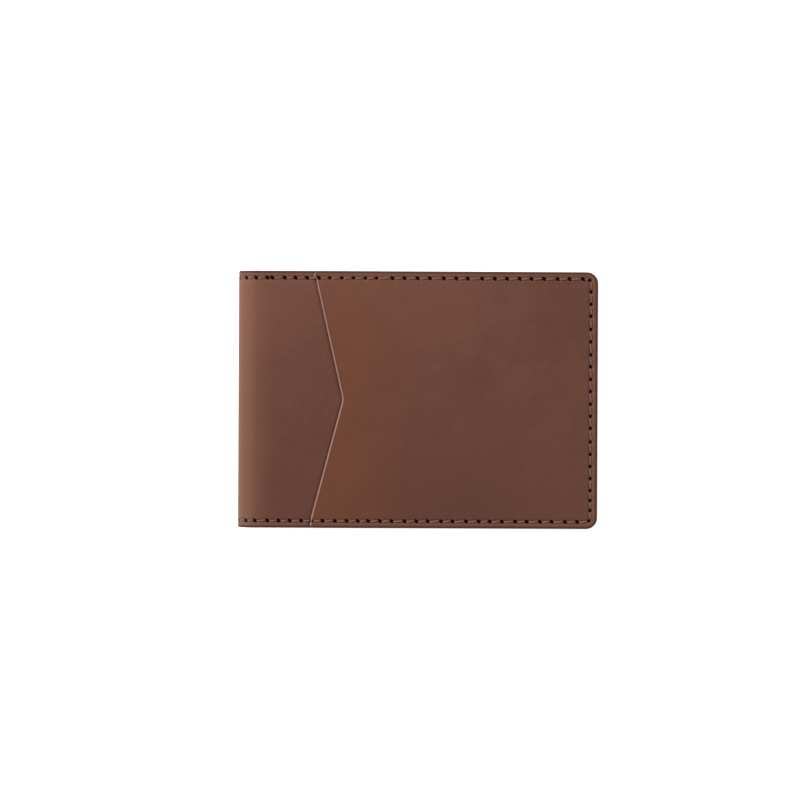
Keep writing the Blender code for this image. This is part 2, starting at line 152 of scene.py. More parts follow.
def smooth(value, low, high):
    """0 below low, 1 above high, and a smooth step between them. Low may be above high."""
    t = np.clip((np.asarray(value, float) - low) / (high - low), 0, 1)
    return t * t * (3 - 2 * t)


def mix(a, b, share):
    return a + (b - a) * share


def pairs(u, v):
    """Flat points from their two coordinates."""
    return np.stack([u, v], axis=1)


def unit(vectors):
    return vectors / np.linalg.norm(vectors, axis=1)[:, None]


def from_edge(u, v):
    """Distance in from the nearest of a cover's three sewn edges, as if its corners were sharp."""
    return np.minimum(FREE_X - u, HALF_H - np.abs(v))


def waves(u, v, seed, length):
    """Gentle uneven waves between -1 and 1, for leather that is never quite flat."""
    rng = random.Random(seed)
    total = np.zeros(np.broadcast(u, v).shape)
    for _ in range(5):
        turn = rng.uniform(0, math.tau)
        size = length * rng.uniform(0.6, 1.5)
        start = rng.uniform(0, math.tau)
        total = total + np.sin((u * math.cos(turn) + v * math.sin(turn)) * math.tau / size + start)
    return total / 5


# Laying a flat panel on the wallet


def lay_back(u, v, z):
    """The back half: flat on the table, then round the bend."""
    turn = np.maximum(0.0, BEND_X - u) / BEND_R
    radius = BEND_R - z
    flat = np.maximum(u, BEND_X)
    return np.stack([flat - radius * np.sin(turn), v, BEND_R - radius * np.cos(turn)], axis=1)


def lay_front(u, v, z):
    """The front half: the back half's mirror, sloping down to the free edge."""
    points = lay_back(u, v, z)
    points[:, 2] = SHELL_H - points[:, 2] - np.maximum(0.0, points[:, 0] - BEND_X) * TAPER
    return points


LAY = {"back": lay_back, "front": lay_front}


# Outlines and seams, drawn flat


def on_cover(s, inset):
    """The cover's outline at this inset. s runs from the spine along the top edge, round the free edge and
    back along the bottom edge, and is measured on the seam."""
    s = np.asarray(s, float)
    inset = np.broadcast_to(np.asarray(inset, float), s.shape)
    seam_r = CORNER_R - SEAM_INSET
    turn = sum(np.clip((s - start) / seam_r, 0, math.pi / 2) for start in (COVER_RUN, LOW_CORNER))
    down = np.clip(s - COVER_RUN - CORNER_LENGTH, 0, COVER_SIDE)
    back = np.maximum(s - LOW_CORNER - CORNER_LENGTH, 0)
    x = np.minimum(CUT_U + s, FREE_X - CORNER_R) - back + (CORNER_R - inset) * np.sin(turn)
    y = HALF_H - CORNER_R - down + (CORNER_R - inset) * np.cos(turn)
    return pairs(x, y)


def on_slot_seam(s, inset):
    """The seam that closes the card slots on the fold side, from the first mouth down."""
    s = np.asarray(s, float)
    side = np.broadcast_to(np.asarray(inset, float) - SEAM_INSET, s.shape)
    return pairs(SLOT_SEAM_U - side, SLOT_SEAM_TOP - s)


def even_steps(start, end, pitch, shake):
    """Places from start to end about a pitch apart, each shaken a little but the two ends."""
    count = max(1, round(abs(end - start) / pitch))
    step = (end - start) / count
    inner = [start + step * (i + dice.uniform(-shake, shake)) for i in range(1, count)]
    return [start, *inner, end]


class Seam:
    """A row of stitches. route(s, inset) gives its points, and holes lists where the needle went in."""

    def __init__(self, route, holes, round_holes):
        self.route = route
        self.holes = np.array(holes)
        self.round_holes = round_holes
        self.places = route(self.holes, SEAM_INSET)
        self.along = unit(route(self.holes + 0.05, SEAM_INSET) - route(self.holes - 0.05, SEAM_INSET))

    def lattice(self, rows, per_stitch):
        """Mesh points about the seam, closer together at the needle holes."""
        stops = [0.0, *self.holes, self.holes[-1] + self.holes[0]]
        columns = []
        for a, b in zip(stops, stops[1:]):
            count = max(3, round(per_stitch * (b - a) / PITCH_FREE_SIDE))
            t = np.arange(count) / count
            columns.append(a + (b - a) * (t - 0.62 * np.sin(math.tau * t) / math.tau))
        s = np.concatenate(columns)
        return np.concatenate([self.route(s, SEAM_INSET + row) for row in rows])

    def hole_reach(self, points):
        """For each point, its distance to the nearest hole, where 1 is the rim of the hole."""
        best = np.full(len(points), 9.0)
        for place, along, is_round in zip(self.places, self.along, self.round_holes):
            slant, half_long, half_short = ROUND_HOLE if is_round else SLANTED_HOLE
            offset = points - place
            near = np.nonzero(np.abs(offset).max(axis=1) < 3)[0]
            a = offset[near] @ along
            b = offset[near] @ np.array([along[1], -along[0]])
            long = (a * math.cos(slant) + b * math.sin(slant)) / half_long
            short = (b * math.cos(slant) - a * math.sin(slant)) / half_short
            best[near] = np.minimum(best[near], np.hypot(long, short))
        return best


def edge_seam():
    """The seam round a cover: shorter stitches on the fold side, where one is doubled, a long one that ends
    them on top, and short ones at both corners."""
    change = PITCH_CHANGE_X - CUT_U
    doubled = PITCH_FOLD_SIDE * 3.5
    corner = COVER_RUN + CORNER_LENGTH / 2
    low_corner = COVER_LENGTH - corner
    shorter = low_corner - 3 * LOW_CORNER_STITCH
    stretches = [
        (PITCH_FOLD_SIDE / 2, doubled, PITCH_FOLD_SIDE),
        (doubled + PITCH_FOLD_SIDE * 0.45, change - LONG_STITCH, PITCH_FOLD_SIDE),
        (change, corner - SHORT_STITCH, PITCH_FREE_SIDE),
        (corner, shorter, PITCH_FREE_SIDE),
        (shorter, low_corner, LOW_CORNER_STITCH),
        (low_corner, COVER_LENGTH - change, PITCH_FREE_SIDE),
        (COVER_LENGTH - change, COVER_LENGTH - PITCH_FOLD_SIDE / 2, PITCH_FOLD_SIDE),
    ]
    holes = []
    for start, end, pitch in stretches:
        places = even_steps(start, end, pitch, EDGE_SHAKE)
        holes += [place for place in places if place not in holes]
    round_spans = ((corner - 1, low_corner + 1), (ROUND_HOLES_X[0] - CUT_U, ROUND_HOLES_X[1] - CUT_U))
    return Seam(on_cover, holes, [any(low < s < high for low, high in round_spans) for s in holes])


def slot_seam():
    length = SLOT_SEAM_TOP + HALF_H - SEAM_INSET - 1.2
    holes = even_steps(0.9, length, PITCH_FOLD_SIDE, SLOT_SHAKE)
    return Seam(on_slot_seam, holes, [True] * len(holes))


def line_points(a, b, step):
    """Points from a up to, but not at, b."""
    a, b = np.array(a, float), np.array(b, float)
    count = max(1, round(np.linalg.norm(b - a) / step))
    return a + (b - a) * (np.arange(count) / count)[:, None]


def soft_corner(before, corner, after, cut, steps=8):
    """A rounded corner that starts and ends this far from the sharp one."""
    before, corner, after = (np.array(p, float) for p in (before, corner, after))
    start = corner + (before - corner) / np.linalg.norm(before - corner) * cut
    end = corner + (after - corner) / np.linalg.norm(after - corner) * cut
    t = (np.arange(steps + 1) / steps)[:, None]
    return (1 - t) ** 2 * start + 2 * t * (1 - t) * corner + t**2 * end


def soft_outline(corners, cuts, step, closed=True):
    """A closed outline with rounded corners, or an open one that stops just before its last corner."""
    bends = []
    for i, cut in enumerate(cuts):
        if cut:
            bends.append(soft_corner(corners[i - 1], corners[i], corners[(i + 1) % len(corners)], cut))
        else:
            bends.append(np.array([corners[i]], float))
    pieces = []
    for bend, after in zip(bends, bends[1:] + bends[:1]):
        pieces += [bend[:-1], line_points(bend[-1], after[0], step)]
    return np.concatenate(pieces if closed else pieces[:-1])


def mouth_x(y):
    """Where the quick pocket's mouth is, at height y."""
    end = np.where(np.asarray(y) > 0, NOTCH_TOP_X, NOTCH_BOTTOM_X)
    return NOTCH_POINT_X + (end - NOTCH_POINT_X) * np.abs(y) / HALF_H


def cover_border():
    """The open outline of a cover, from the spine round to the spine."""
    top = np.arange(0, COVER_RUN, COVER_RUN / round(COVER_RUN / 0.4))
    corner = COVER_RUN + np.linspace(0, CORNER_LENGTH, 15)
    side = np.linspace(COVER_RUN + CORNER_LENGTH, LOW_CORNER, 180)[1:-1]
    s = np.concatenate([top, corner, side])
    upper = s[s < COVER_LENGTH / 2]
    return on_cover(np.concatenate([upper, COVER_LENGTH - upper[::-1]]), 0)


def pocket_border():
    """The quick pocket's outline, with the small kink at the top of its mouth."""
    cover = cover_border()
    edge = cover[cover[:, 0] > POCKET_START_X]
    corners = [
        edge[-1],
        (NOTCH_BOTTOM_X + 0.35, -HALF_H),
        (mouth_x(-HALF_H + 2.6) - 0.1, -HALF_H + 2.6),
        (NOTCH_POINT_X, 0.0),
        (mouth_x(HALF_H - 2.4), HALF_H - 2.4),
        (NOTCH_TOP_X - 0.2, HALF_H - 1.6),
        (NOTCH_TOP_X + 0.3, HALF_H),
        edge[0],
    ]
    mouth = soft_outline(corners, [0, 1.2, 0.6, 1.5, 0.4, 0.4, 0.9, 0], 0.35, closed=False)
    return np.concatenate([edge[:-1], mouth])


# Levels of the layers, as z at (u, v)


def lining_top(u, v):
    """The lining is pressed down along the sewn edges."""
    return mix(LINING_TOP, SHELL_T + LINING_T + 2 * SEWN_GAP, smooth(from_edge(u, v), 8.5, 2.5))


def within(value, edge, out):
    """1 on the panel's side of an edge and 0 beyond it. out is 1 or -1, the way that leads off the panel."""
    return smooth(value * out, edge * out + 0.9, edge * out + 0.1)


def slot_cover(level, u, v):
    """1 where the slot panel of this level is, with soft borders."""
    below_mouth = within(v, SLOT_MOUTHS[level], 1)
    head = below_mouth * within(u, SLOT_LEFT, -1)
    if level == LOWEST:
        return head
    head = head * within(v, SLOT_MOUTHS[level] - SLOT_HEAD_H, -1)
    tongue = below_mouth * within(v, SLOT_BOTTOMS[level], -1)
    tongue = tongue * within(u, SLOT_LEFT + TONGUE_INSET, -1) * within(u, FREE_X - TONGUE_INSET, 1)
    return np.maximum(head, tongue)


def stack_top(u, v, levels):
    """Top of the slot panels below this level where they are sewn down on each other."""
    total = lining_top(u, v)
    for level in range(levels):
        total = total + slot_cover(level, u, v) * (SLOT_T + SEWN_GAP)
    return total


def slot_bottom(level, u, v):
    """Underside of a slot panel: sewn down at its borders, and at its CAD level inside them."""
    free = LINING_TOP + level * (GAP + SLOT_T) + GAP
    sewn = np.maximum(smooth(u, 44.0, 51.5), smooth(u, SLOT_SEAM_U + 7.0, SLOT_SEAM_U + 1.5))
    if level == LOWEST:
        sewn = np.maximum(sewn, smooth(v, -HALF_H + 9.0, -HALF_H + 3.0))
    return mix(free, stack_top(u, v, level) + SEWN_GAP, sewn)


def pocket_underside(u, v):
    """The quick pocket lies on the cover at its seams and mouth, and bulges a little between them."""
    inset = np.minimum(from_edge(u, v), (u - mouth_x(v)) * 0.8)
    return -GAP * smooth(inset, 3.0, 14.0)


# Meshes


def distance_to(points, line):
    """Distance from each point to a polyline, by its nearest vertex and the two sides that meet there."""
    tree = KDTree(len(line))
    for i, p in enumerate(line):
        tree.insert((*p, 0.0), i)
    tree.balance()
    nearest = np.array([tree.find((*p, 0.0))[1] for p in points])
    best = np.full(len(points), 1e9)
    for shift in (-1, 0):
        i = np.clip(nearest + shift, 0, len(line) - 2)
        a, b = line[i], line[i + 1]
        side = b - a
        t = np.clip(((points - a) * side).sum(1) / np.maximum((side * side).sum(1), 1e-12), 0, 1)
        best = np.minimum(best, np.linalg.norm(points - a - side * t[:, None], axis=1))
    return best


def inside(points, loop):
    """True for the points inside a closed loop."""
    result = np.zeros(len(points), bool)
    for (x0, y0), (x1, y1) in zip(loop, np.roll(loop, -1, axis=0)):
        if y0 != y1:
            crosses = (points[:, 1] > min(y0, y1)) & (points[:, 1] <= max(y0, y1))
            result ^= crosses & (points[:, 0] < x0 + (points[:, 1] - y0) * (x1 - x0) / (y1 - y0))
    return result


def spread_out(points, cell):
    """Drops points that share a small cell with an earlier one."""
    keys = np.round(points / cell).astype(np.int64)
    _, first = np.unique(keys, axis=0, return_index=True)
    return points[np.sort(first)]


def room_for_inset(line, closed):
    """How far each point of an outline can move inwards before a tight corner folds over itself."""
    before = line - np.roll(line, 1, axis=0)
    after = np.roll(line, -1, axis=0) - line
    turn = np.arctan2(before[:, 1] * after[:, 0] - before[:, 0] * after[:, 1], (before * after).sum(1))
    length = (np.linalg.norm(before, axis=1) + np.linalg.norm(after, axis=1)) / 2
    room = np.where(turn > 1e-3, 0.75 * length / np.maximum(turn, 1e-3), 9.0)
    if not closed:
        room[[0, -1]] = 9.0
    return np.minimum.reduce([np.roll(room, shift) for shift in range(-3, 4)])


def grid(u_low, u_high, v_low, v_high, step_u, step_v):
    u, v = np.meshgrid(np.arange(u_low, u_high, step_u), np.arange(v_low, v_high, step_v))
    return pairs(u.ravel(), v.ravel())


def band_faces(starts, count, closed=True):
    """Faces between rings of this many points. starts lists the first point of each ring."""
    faces = []
    for a, b in zip(starts, starts[1:]):
        for i in range(count if closed else count - 1):
            j = (i + 1) % count
            faces.append([a + j, a + i, b + i, b + j])
    return faces


def flat_at(z):
    """A face that lies flat at this z."""
    return lambda u, v: np.full(len(u), z)


def write_float(mesh, name, values):
    attribute = mesh.attributes.new(name, "FLOAT", "POINT")
    attribute.data.foreach_set("value", np.asarray(values, np.float32))


def add_object(name, data):
    """A new object with this mesh, lamp or camera, linked into the scene."""
    obj = bpy.data.objects.new(name, data)
    bpy.context.scene.collection.objects.link(obj)
    return obj


def make_piece(name, where, faces):
    """A smooth object from points in millimetres. rest_mm keeps each point's place in the closed wallet, so
    that the material's pattern stays with it in a pose."""
    mesh = bpy.data.meshes.new(name)
    mesh.from_pydata((where * MM).tolist(), [], faces)
    shape = bmesh.new()
    shape.from_mesh(mesh)
    bmesh.ops.recalc_face_normals(shape, faces=shape.faces)
    shape.to_mesh(mesh)
    shape.free()
    rest = mesh.attributes.new("rest_mm", "FLOAT_VECTOR", "POINT")
    rest.data.foreach_set("vector", np.asarray(where, np.float32).ravel())
    mesh.shade_smooth()
    mesh.set_sharp_from_angle(angle=math.radians(60))
    return add_object(name, mesh)


# Edge sections as (inset, share of the thickness left above), for leather of the shell's thickness
ROUND_EDGE = ((0.42, 1.0), (0.24, 0.94), (0.09, 0.8), (0.0, 0.58), (0.0, 0.36), (0.08, 0.15), (0.26, 0.0))
RAW_EDGE = ((0.52, 1.0), (0.44, 0.86), (0.33, 0.62), (0.2, 0.36), (0.09, 0.16), (0.0, 0.06), (0.08, 0.0))


@dataclass
class Panel:
    """A panel of leather or steel, from its flat outline to its mesh.

    outer and inner give z on its two faces. cut is True for a half of the shell or lining, whose outline
    is open at the spine. raw is the share of the unpainted edge section, at each point of the outline.
    """

    name: str
    border: object
    outer: object
    inner: object
    lay: object
    cut: bool = False
    raw: object = 0.0
    edge_scale: float = 1.0

    def rings(self):
        """The outline at each step of its edge section: a list of (points, share of thickness). It runs
        clockwise, and its normals point inwards."""
        ahead = unit(np.roll(self.border, -1, axis=0) - np.roll(self.border, 1, axis=0))
        normals = pairs(ahead[:, 1], -ahead[:, 0])
        if self.cut:
            normals[[0, -1]] = ((0, -1), (0, 1))
        room = room_for_inset(self.border, not self.cut)
        found = []
        for (inset_a, share_a), (inset_b, share_b) in zip(ROUND_EDGE, RAW_EDGE):
            inset = np.minimum(mix(inset_a, inset_b, self.raw) * self.edge_scale, room)
            share = mix(share_a, share_b, self.raw)
            found.append((self.border + normals * inset[:, None], share))
        return found

    def fill(self, ring, extra):
        """Points and triangles over the inside of a ring, and the length of the loop round them. The ring's
        own points come first."""
        loop = ring
        if self.cut:
            steps = np.linspace(ring[-1, 1], ring[0, 1], 60)[1:-1]
            loop = np.concatenate([ring, pairs(np.full(len(steps), CUT_U), steps)])
        extra = extra[inside(extra, loop)]
        extra = extra[distance_to(extra, np.concatenate([loop, loop[:1]])) > 0.13]
        points = np.concatenate([loop, extra])
        flat = [Vector((float(x), float(y))) for x, y in points]
        found = delaunay_2d_cdt(flat, [], [list(reversed(range(len(loop))))], 1, 1e-7, True)
        coordinates, faces, face_loops = found[0], found[2], found[5]
        if len(coordinates) != len(points):
            raise RuntimeError(f"{self.name}: the filling added or lost points")
        return points, [face for face, loops in zip(faces, face_loops) if loops], len(loop)

    def build(self, extra_outer, extra_inner, masks):
        """Makes the mesh. masks names attributes of the outer face and gives their values as functions."""
        rings = self.rings()
        outer, outer_faces, outer_loop = self.fill(rings[0][0], extra_outer)
        inner, inner_faces, inner_loop = self.fill(rings[-1][0], extra_inner)
        top = self.outer(*self.border.T)
        bottom = self.inner(*self.border.T)
        edge_levels = [mix(bottom, top, share) for points, share in rings[1:-1]]
        levels = [self.outer(*outer.T), *edge_levels, self.inner(*inner.T)]
        flat = [outer] + [points for points, share in rings[1:-1]] + [inner]
        starts = [0] + [int(end) for end in np.cumsum([len(points) for points in flat])]
        faces = [list(face) for face in outer_faces]
        faces += [[starts[-2] + i for i in reversed(face)] for face in inner_faces]
        count = len(self.border)
        faces += band_faces(starts[:-1], count, not self.cut)
        if self.cut:
            across = list(range(count - 1, outer_loop)) + starts[:1]
            down = starts[1:-1]
            back = [starts[-2] + i for i in reversed(range(count - 1, inner_loop))]
            up = [start + count - 1 for start in reversed(starts[1:-2])]
            faces.append(across + down + back + up)
        uv = np.concatenate(flat)
        where = self.lay(uv[:, 0], uv[:, 1], np.concatenate(levels))
        piece = make_piece(self.name, where, faces)
        self.write_attributes(piece.data, uv, starts, masks)
        return piece

    def write_attributes(self, mesh, uv, starts, masks):
        """Distance from the edge, bare cut edge, and the masks asked for."""
        line = self.border if self.cut else np.concatenate([self.border, self.border[:1]])
        inset = distance_to(uv, line)
        inset[starts[1] : starts[-2]] = 0.0
        bare = np.zeros(len(uv))
        for start in starts[1:-1]:
            bare[start : start + len(self.border)] = self.raw
        write_float(mesh, "inset_mm", inset)
        write_float(mesh, "bare_edge", bare)
        for name, mask in masks.items():
            values = np.zeros(len(uv))
            values[: starts[1]] = mask(uv[: starts[1]])
            write_float(mesh, name, values)


@dataclass
class Thread:
    """The stitches of a seam, as one mesh of short tubes of two-ply thread. level gives the leather's z.
    out is 1 for a seam on the wallet's outside and -1 for one inside, where the stitches dive less deep."""

    name: str
    seam: Seam
    level: object
    out: int
    lay: object
    SIDES = 8
    STEPS = 16

    def line(self, s, rise, across):
        """Points (u, v, z) of the thread's middle, deeper round the bend. rise is 0 in a needle hole, and
        across goes from 1 to -1 as the stitch slants over the seam."""
        places = self.seam.route(s, SEAM_INSET + across * 0.28)
        dive = 1.25 if self.out > 0 else 0.5
        sunk = 0.22 * smooth(places[:, 0], BEND_X + 1.0, BEND_X - 5.0)
        z = self.level(*places.T) - self.out * (THREAD_R * 0.2 - sunk - dive * (1 - rise))
        return np.column_stack([places, z])

    def tube(self, start, end, dips):
        """One stitch's points and how far down a hole each is. dips says at which ends it goes into one."""
        t = np.linspace(0, 1, self.STEPS + 1)
        t = t - 0.5 * np.sin(math.tau * t) / math.tau
        length = end - start
        rise = np.ones(len(t))
        for dips_here, left in zip(dips, (t, 1 - t)):
            if dips_here:
                rise = np.minimum(rise, smooth(left * length, 0.3, 1.05))
        middle = self.line(start + t * length, rise, 1 - 2 * t if all(dips) else 0 * t)
        ahead = unit(np.gradient(middle, axis=0))
        flat = unit(np.stack([ahead[:, 1], -ahead[:, 0], np.zeros(len(t))], axis=1))
        up = np.cross(ahead, flat)
        rings = []
        for k in range(self.SIDES):
            turn = math.tau * k / self.SIDES
            radius = THREAD_R * (1 + 0.16 * np.cos(2 * (turn - 3.2 * t * length)))
            sideways = flat * (radius * math.cos(turn))[:, None]
            rings.append(middle + sideways + up * (radius * math.sin(turn))[:, None])
        return np.stack(rings, axis=1).reshape(-1, 3), np.repeat(1 - rise, self.SIDES)

    def build(self, open_ends):
        """Makes the mesh. With open ends, a half stitch at each end runs on to the spine's middle line."""
        holes = list(self.seam.holes)
        ends = [0.0, *holes, COVER_LENGTH] if open_ends else holes
        points, sunk, faces = [], [], []
        for number, (start, end) in enumerate(zip(ends, ends[1:])):
            tube, depth = self.tube(start, end, (start in holes, end in holes))
            points.append(tube)
            sunk.append(depth)
            first = number * len(tube)
            last = first + self.STEPS * self.SIDES
            faces += band_faces(range(last, first - 1, -self.SIDES), self.SIDES)
            faces.append(list(range(first, first + self.SIDES)))
            faces.append(list(reversed(range(last, last + self.SIDES))))
        piece = make_piece(self.name, self.lay(*np.concatenate(points).T), faces)
        # sunk says how far down a hole each point is; the material paints the thread with shade there.
        write_float(piece.data, "sunk", np.concatenate(sunk))
        return piece


# Stitched surfaces


def stitch_relief(seam, points, inset):
    """How far the seam pulls the leather in: a channel under the thread, a dimple at each needle hole."""
    reach = seam.hole_reach(points)
    across = inset - SEAM_INSET
    channel = CHANNEL_DEPTH * np.exp(-((across / 0.55) ** 2))
    dimple = HOLE_DEPTH * np.exp(-((reach / 0.95) ** 4)) + DIP_DEPTH * np.exp(-((reach / 2.4) ** 2))
    swell = SWELL_HEIGHT * np.exp(-(((np.abs(across) - 0.95) / 0.4) ** 2))
    return channel + dimple - swell * (1 - np.exp(-((reach / 2.6) ** 2)))


EDGE_SEAM = edge_seam()
SLOT_SEAM = slot_seam()
OUTER_ROWS = (-1.5, -1.35, -1.2, -1.05, -0.9, -0.75, -0.6, -0.48, -0.36, -0.24, -0.12)
OUTER_ROWS = OUTER_ROWS + (0,) + tuple(-row for row in reversed(OUTER_ROWS[3:])) + (1.3, 1.6)
INNER_ROWS = (-1.3, -0.9, -0.55, -0.28, 0, 0.28, 0.55, 0.9, 1.25)
INNER_DENSITY = 7
FINE_CELL = 0.09


def needle_mask(points):
    """1 in a needle hole of the edge seam, 0 outside it. The material paints the hole near-black: painted
    shade, with some dark wax.
    """
    return 1 - smooth(EDGE_SEAM.hole_reach(points), 0.85, 1.2)


def rim_wear_and_highlight_mask(points):
    """The lifted rim round each needle hole, made lighter: partly rubbed, pulled-up leather, partly a painted
    highlight where the rim catches the light.
    """
    reach = EDGE_SEAM.hole_reach(points)
    return smooth(reach, 0.95, 1.25) * smooth(reach, 1.9, 1.4)


def plain_lattice(step, fold_margin=0.0):
    """Inside points for a cover-shaped panel: fine columns round the bend, and a coarse middle."""
    fold = grid(CUT_U + 0.2, BEND_X + 1.5, -HALF_H + 0.6, HALF_H - 0.5, 0.26, 2.0)
    fold = fold[np.abs(fold[:, 1]) < HALF_H - fold_margin]
    flat = grid(BEND_X + 2.5, FREE_X, -HALF_H, HALF_H, step, step)
    return np.concatenate([fold, flat[from_edge(*flat.T) > 4.2]])


def seam_lattice(step, rows, per_stitch, cell):
    """The same with rows of points along the edge seam."""
    lines = EDGE_SEAM.lattice(rows, per_stitch)
    lines = lines[lines[:, 0] > CUT_U + 0.1]
    return spread_out(np.concatenate([lines, plain_lattice(step, fold_margin=4.0)]), cell)


OUTER_LATTICE = seam_lattice(2.0, OUTER_ROWS, 15, FINE_CELL)


def mouth_rows(offsets):
    """Rows of points beside the quick pocket's mouth."""
    y = np.arange(-HALF_H, HALF_H, 0.3)
    return np.concatenate([pairs(mouth_x(y) + offset, y) for offset in offsets])


def build_shell(half):
    """A cover and its half of the spine in one bending sheet."""
    border = cover_border()
    lattice = OUTER_LATTICE
    front = half == "front"
    if front:
        hidden = lattice[:, 0] > mouth_x(lattice[:, 1]) + 2.5
        lattice = lattice[~(hidden & (from_edge(*lattice.T) < 4.0))]
        beside_mouth = mouth_rows((-2.0, -1.4, -1.0, -0.7, -0.45, -0.25, -0.05))
        lattice = spread_out(np.concatenate([lattice, beside_mouth]), FINE_CELL)

    def outer(u, v):
        points = pairs(u, v)
        edge = distance_to(points, border)
        relief = stitch_relief(EDGE_SEAM, points, edge)
        calm = smooth(u, CUT_U + 0.5, CUT_U + 9) * smooth(edge, 0.2, 9)
        bump = 0.10 * waves(u, v, 5 if front else 6, 34) * calm
        if front:
            return relief * (1 - smooth(u - mouth_x(v), 0.0, 1.0)) + bump
        return np.maximum(relief, 0) + np.maximum(bump, 0)

    masks = {"needle": needle_mask, "rim": rim_wear_and_highlight_mask}
    if front:
        # A painted shadow on the cover, just left of the quick pocket's mouth.
        masks["painted_mouth_shadow"] = lambda points: smooth(mouth_x(points[:, 1]) - points[:, 0], 1.1, 0.1)
    panel = Panel(f"shell_{half}", border, outer, flat_at(SHELL_T), LAY[half], cut=True)
    return panel.build(lattice, plain_lattice(3.0), masks)


def build_pocket():
    """The quick pocket, with a bare slanting edge at its notched mouth."""
    border = pocket_border()
    raw = smooth(np.abs(border[:, 0] - mouth_x(border[:, 1])), 1.4, 0.7)
    raw = raw * smooth(HALF_H - np.abs(border[:, 1]), 0.35, 0.9)
    lattice = np.concatenate([OUTER_LATTICE, mouth_rows((0.75, 1.0, 1.3, 1.8, 2.6))])
    lattice = spread_out(lattice[lattice[:, 0] > NOTCH_BOTTOM_X - 1], FINE_CELL)
    cover = cover_border()

    def outer(u, v):
        points = pairs(u, v)
        edge = distance_to(points, cover)
        from_mouth = u - mouth_x(v)
        relief = stitch_relief(EDGE_SEAM, points, edge)
        bump = 0.12 * waves(u, v, 9, 30) * smooth(edge, 0.2, 9) * smooth(from_mouth, 0, 6)
        thinned = 0.05 * smooth(from_mouth, 3.0, 0.0)
        return pocket_underside(u, v) - POCKET_T + relief + bump + thinned

    def inner(u, v):
        return pocket_underside(u, v) - 0.01

    masks = {
        "needle": needle_mask,
        "rim": rim_wear_and_highlight_mask,
        "mouth": lambda points: smooth(points[:, 0] - mouth_x(points[:, 1]), 5.0, 1.5),
    }
    panel = Panel("quick_pocket", border, outer, inner, lay_front, raw=raw)
    return panel.build(lattice, grid(NOTCH_BOTTOM_X, FREE_X, -HALF_H, HALF_H, 3.0, 3.0), masks)


def build_lining(half):
    """The lining of a cover and its half of the spine. Its inside face carries the seam."""
    border = cover_border()

    def outer(u, v):
        """The face towards the shell."""
        return lining_top(u, v) - LINING_T

    def inner(u, v):
        points = pairs(u, v)
        relief = stitch_relief(EDGE_SEAM, points, distance_to(points, border)) * 0.5
        return lining_top(u, v) - np.maximum(relief, -0.02)

    lattice = seam_lattice(2.4, INNER_ROWS, INNER_DENSITY, 0.15)
    scale = LINING_T / SHELL_T
    panel = Panel(f"lining_{half}", border, outer, inner, LAY[half], cut=True, edge_scale=scale)
    return panel.build(plain_lattice(3.0), lattice, {})


def slot_border(level):
    """A card slot's outline: a wide head with a narrower tongue, or the lowest slot down to the edge."""
    mouth, bottom = SLOT_MOUTHS[level], SLOT_BOTTOMS[level]
    if level == LOWEST:
        corners = [(SLOT_LEFT, mouth), (FREE_X, mouth), (FREE_X, bottom), (SLOT_LEFT, bottom)]
        return soft_outline(corners, [0.9, 0.9, 4.6, 0.9], 0.5)
    head = mouth - SLOT_HEAD_H
    left, right = SLOT_LEFT + TONGUE_INSET, FREE_X - TONGUE_INSET
    corners = [(SLOT_LEFT, mouth), (FREE_X, mouth), (FREE_X, head), (right, head)]
    corners += [(right, bottom), (left, bottom), (left, head), (SLOT_LEFT, head)]
    return soft_outline(corners, [0.9] * 8, 0.5)


def build_slot(half, level):
    """One card slot panel, with the seams on its face inside the wallet."""
    border = slot_border(level)
    mouth = SLOT_MOUTHS[level]

    def outer(u, v):
        """The face towards the lining."""
        return slot_bottom(level, u, v)

    def inner(u, v):
        points = pairs(u, v)
        edge = from_edge(u, v)
        relief = stitch_relief(EDGE_SEAM, points, edge) * smooth(edge, 3.6, 3.0)
        slot_relief = stitch_relief(SLOT_SEAM, points, SEAM_INSET + u - SLOT_SEAM_U)
        relief = relief + slot_relief * smooth(u, -36.5, -37.5)
        sag = 0.03 * waves(u, v, 20 + level, 26) * smooth(edge, 1, 9)
        return slot_bottom(level, u, v) + SLOT_T - np.clip(relief * 0.5, 0, 0.36) + sag

    coarse = grid(SLOT_LEFT, FREE_X, -HALF_H, HALF_H, 1.7, 1.7)
    seams = [seam.lattice(INNER_ROWS, INNER_DENSITY) for seam in (EDGE_SEAM, SLOT_SEAM)]
    near_mouth = grid(SLOT_LEFT, FREE_X, mouth - 3, mouth, 0.8, 0.4)
    lattice = spread_out(np.concatenate([*seams, coarse, near_mouth]), 0.2)
    name = f"slot_{SLOT_NAMES[level]}_{half}"
    panel = Panel(name, border, outer, inner, LAY[half], edge_scale=SLOT_T / SHELL_T)
    return panel.build(coarse, lattice, {})


# The money clip: one strip of spring steel, drawn flat along its own length


STRIP_T = 0.45
CONTACT_X = -28.0
LIP_RISE = 0.5


def clip_path():
    """The strip's middle line (x, z), from the end of its base round the bend to its lip."""
    low_z = BASE_LOW.z + STRIP_T / 2
    radius = (LEAF_HIGH.z - BASE_LOW.z) / 2 - STRIP_T / 2
    bend_x = LEAF_LOW.x + radius + STRIP_T / 2
    contact_z = LEAF_LOW.z + STRIP_T / 2
    lip_end = (LEAF_HIGH.x, contact_z + LIP_RISE)
    turns = np.radians(np.linspace(270, 90, 37))
    bend = [(bend_x + radius * math.cos(a), low_z + radius + radius * math.sin(a)) for a in turns]
    lip = soft_corner((bend_x, bend[-1][1]), (CONTACT_X, contact_z), lip_end, 2.4, 12)
    return np.array([(BASE_HIGH.x, low_z)] + bend + [tuple(p) for p in lip] + [lip_end])


